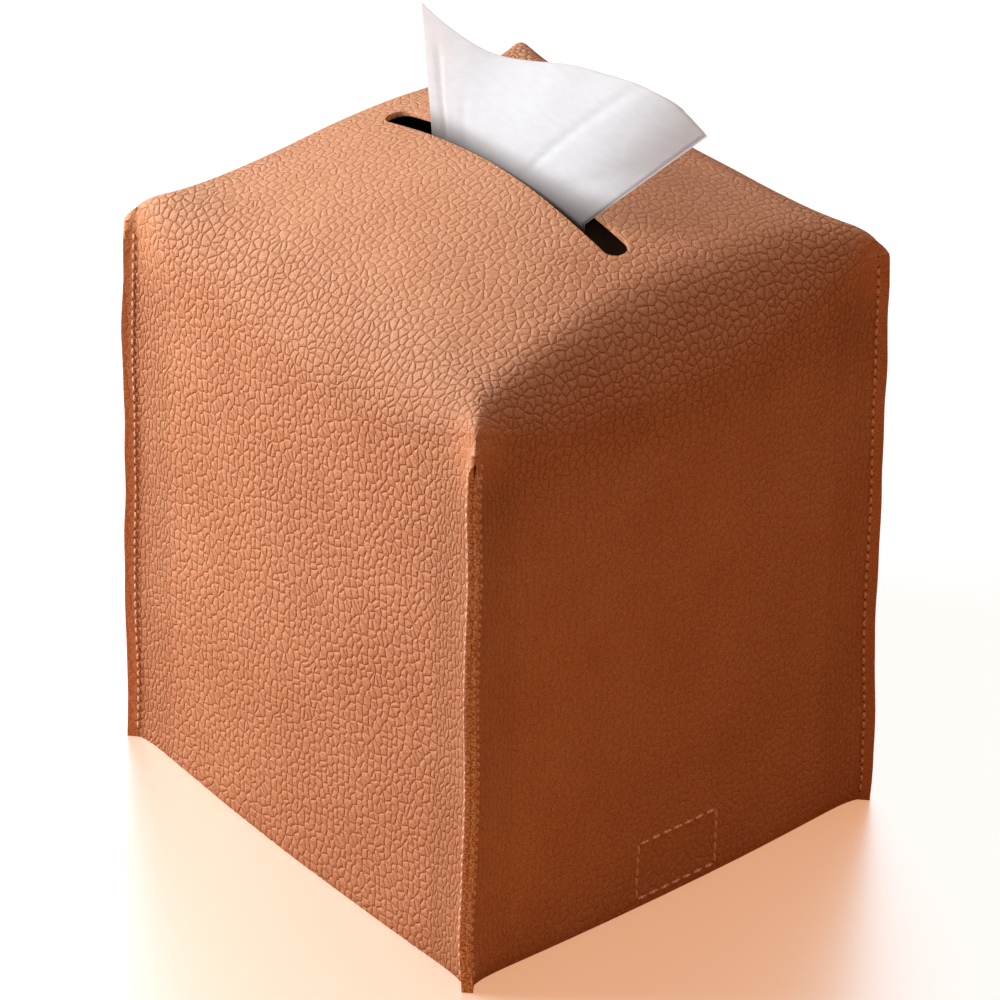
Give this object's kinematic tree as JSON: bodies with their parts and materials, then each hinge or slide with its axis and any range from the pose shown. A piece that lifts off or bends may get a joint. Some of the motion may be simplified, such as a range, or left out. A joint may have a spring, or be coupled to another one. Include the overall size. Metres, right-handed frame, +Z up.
{
  "type": "tissue box cover",
  "caption": "Square soft leather cover for a carton of tissues, with standing corner seams, a slot in the top, a pop-up tissue and a hook-and-loop strap across the open bottom.",
  "frame": {"origin": "middle of the base, on the surface that the cover stands on", "axes": "+Z up; the slot in the top runs along X; the strap crosses the bottom along X, hinged at -X and fastened at +X; -Y is the front"},
  "size_m": [0.1282, 0.1282, 0.196],
  "materials": {
    "cover_leather": "matte pebbled grain, raw cut edges",
    "thread": "polyester sewing thread",
    "loop_tape": "soft loop pile",
    "hook_tape": "woven tape with hooks",
    "carton_board": "plain white coated board",
    "clear_film": "clear thin film",
    "tissue_paper": "soft matte tissue"
  },
  "bodies": {
    "cover": {"leather_shell": "cover_leather", "seam_thread_back_right": "thread", "seam_thread_back_left": "thread", "seam_thread_front_left": "thread", "seam_thread_front_right": "thread", "loop_patch": "loop_tape", "loop_patch_thread": "thread", "strap_root": "cover_leather", "strap_root_thread": "thread", "refill_carton": "carton_board", "carton_film": "clear_film", "tissue_stack": "tissue_paper"},
    "strap": {"bottom_strap": "cover_leather", "hook_patch": "hook_tape", "hook_patch_thread": "thread"},
    "tissue": {"popup_tissue": "tissue_paper"}
  },
  "joints": [
    {"name": "strap_fold", "type": "hinge", "parent": "cover", "child": "strap", "pos_m": [-0.05965, 0, 0.00065], "axis": [0, 1, 0], "range_deg": [0, 90]},
    {"name": "tissue_pull", "type": "slide", "parent": "cover", "child": "tissue", "axis": [0, 0, 1], "range_m": [0, 0.06]}
  ]
}
